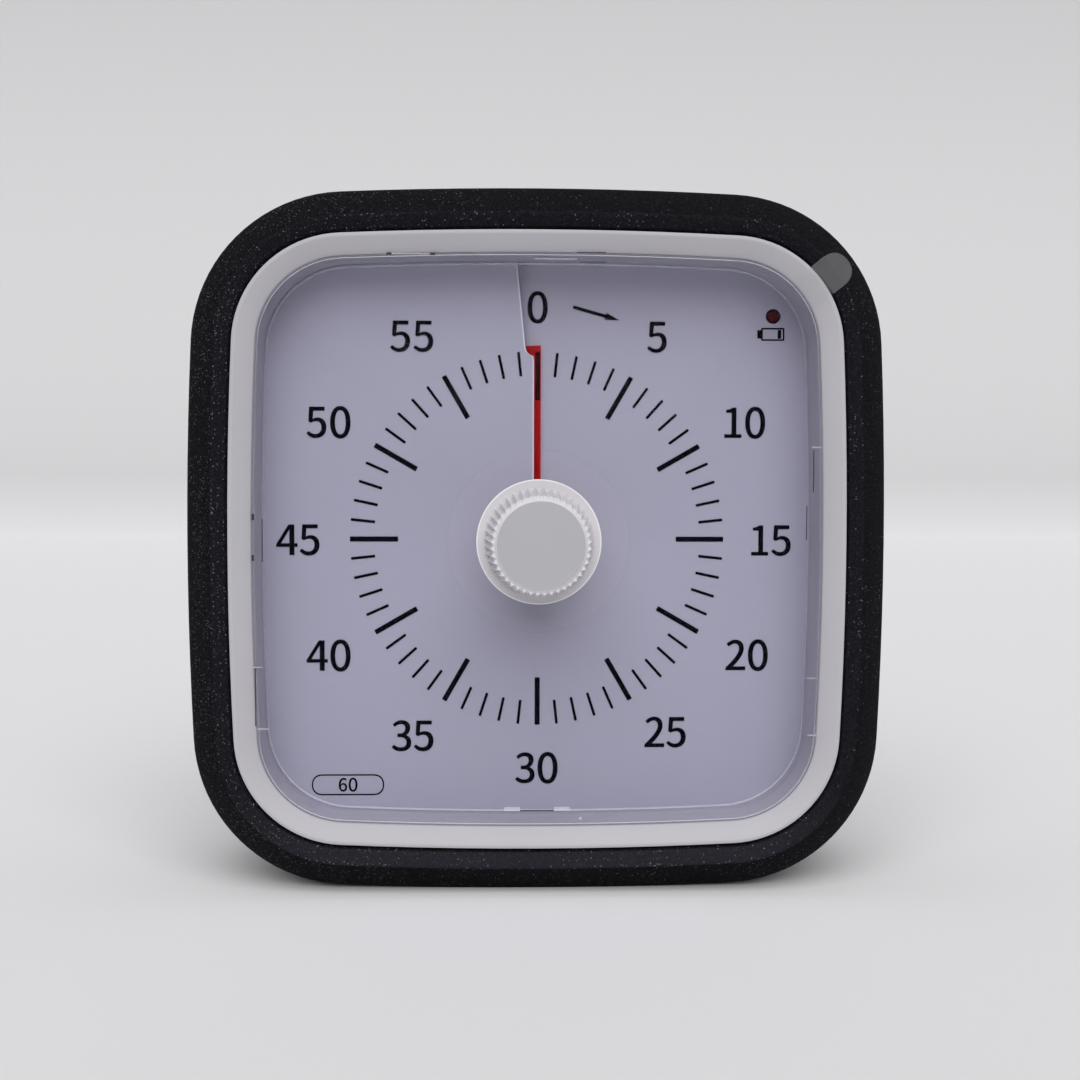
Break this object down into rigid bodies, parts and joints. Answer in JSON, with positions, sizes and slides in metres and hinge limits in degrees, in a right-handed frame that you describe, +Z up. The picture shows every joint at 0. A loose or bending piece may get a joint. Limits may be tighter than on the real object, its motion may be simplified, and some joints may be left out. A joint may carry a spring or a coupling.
{
  "type": "visual countdown timer",
  "caption": "Square desk timer with a red disc that winds over its dial as the knob is turned, behind a clear cover, in a soft protective sleeve.",
  "frame": {"origin": "on the surface that the timer stands on, under the middle of its width and depth", "axes": "+Z up, dial and knob face -Y, +X to the right as seen from the front"},
  "size_m": [0.092, 0.042, 0.0925],
  "materials": {
    "silicone": "matt",
    "bezel_white": "satin",
    "housing_white": "satin",
    "clear_plastic": "clear",
    "film_plastic": "clear",
    "knob_white": "satin",
    "dial_sheet": "satin",
    "red_film": "gloss",
    "inner_plastic": "matt",
    "gear_plastic": "matt",
    "steel": "satin",
    "brass": "satin",
    "copper_wire": "satin",
    "board_green": "satin",
    "black_plastic": "satin",
    "lamp_red": "gloss",
    "cell_jacket": "gloss",
    "wire_red": "satin"
  },
  "bodies": {
    "case": {"silicone_sleeve": "silicone", "front_housing": "bezel_white", "rear_housing": "housing_white", "clear_cover": "clear_plastic", "protective_film": "film_plastic", "dial_plate": "dial_sheet", "dial_ring": "inner_plastic", "mid_plate": "inner_plastic", "movement_front_plate": "inner_plastic", "movement_back_plate": "inner_plastic", "stator": "steel", "coil_core": "steel", "coil_winding": "copper_wire", "circuit_board": "board_green", "timer_chip": "black_plastic", "quartz_can": "steel", "board_parts": "black_plastic", "led": "lamp_red", "led_leads": "steel", "buzzer": "black_plastic", "volume_switch": "steel", "alarm_switch": "steel", "battery_tray": "housing_white", "cell_upper": "cell_jacket", "cell_lower": "cell_jacket", "battery_springs": "steel", "battery_contacts": "steel", "battery_wires": "wire_red", "buzzer_wires": "wire_red", "coil_wires": "copper_wire", "case_screws": "steel", "movement_screws": "steel", "board_screws": "steel"},
    "knob": {"knob": "knob_white", "knob_shaft": "inner_plastic", "clutch_washer": "brass", "retaining_clip": "steel"},
    "disc": {"disc_hub": "inner_plastic", "red_disc": "red_film"},
    "output_wheel": {"output_wheel": "gear_plastic"},
    "third_wheel": {"third_wheel": "gear_plastic"},
    "second_wheel": {"second_wheel": "gear_plastic"},
    "rotor": {"rotor": "steel"},
    "battery_door": {"battery_door": "housing_white"},
    "volume_slider": {"volume_slider": "black_plastic"},
    "alarm_slider": {"alarm_slider": "black_plastic"}
  },
  "joints": [
    {"name": "knob_turn", "type": "hinge", "parent": "case", "child": "knob", "pos_m": [0, 0, 0.04605], "axis": [0, 1, 0], "range_deg": [0, 360]},
    {"name": "disc_rise", "type": "slide", "parent": "knob", "child": "disc", "axis": [0, -1, 0], "range_m": [0, 0.0014]},
    {"name": "third_turn", "type": "hinge", "parent": "case", "child": "third_wheel", "pos_m": [0.01155, 0, 0.05025], "axis": [0, 1, 0], "continuous": true},
    {"name": "output_turn", "type": "hinge", "parent": "case", "child": "output_wheel", "pos_m": [0, 0, 0.04605], "axis": [0, 1, 0], "continuous": true},
    {"name": "second_turn", "type": "hinge", "parent": "case", "child": "second_wheel", "pos_m": [0.01456, 0, 0.04199], "axis": [0, 1, 0], "continuous": true},
    {"name": "rotor_turn", "type": "hinge", "parent": "case", "child": "rotor", "pos_m": [0.0212, 0, 0.04199], "axis": [0, 1, 0], "continuous": true},
    {"name": "battery_door_hinge", "type": "hinge", "parent": "case", "child": "battery_door", "pos_m": [0, 0.0191, 0.01105], "axis": [-1, 0, 0], "range_deg": [0, 85]},
    {"name": "volume_slide", "type": "slide", "parent": "case", "child": "volume_slider", "axis": [1, 0, 0], "range_m": [-0.0025, 0.0025]},
    {"name": "alarm_slide", "type": "slide", "parent": "case", "child": "alarm_slider", "axis": [1, 0, 0], "range_m": [0, 0.003]}
  ],
  "couplings": [
    {"joint": "disc_rise", "follows": "knob_turn", "m_per_rad": 0.00022282},
    {"joint": "output_turn", "follows": "third_turn", "ratio": -0.16667},
    {"joint": "second_turn", "follows": "third_turn", "ratio": -6},
    {"joint": "rotor_turn", "follows": "third_turn", "ratio": 30}
  ]
}
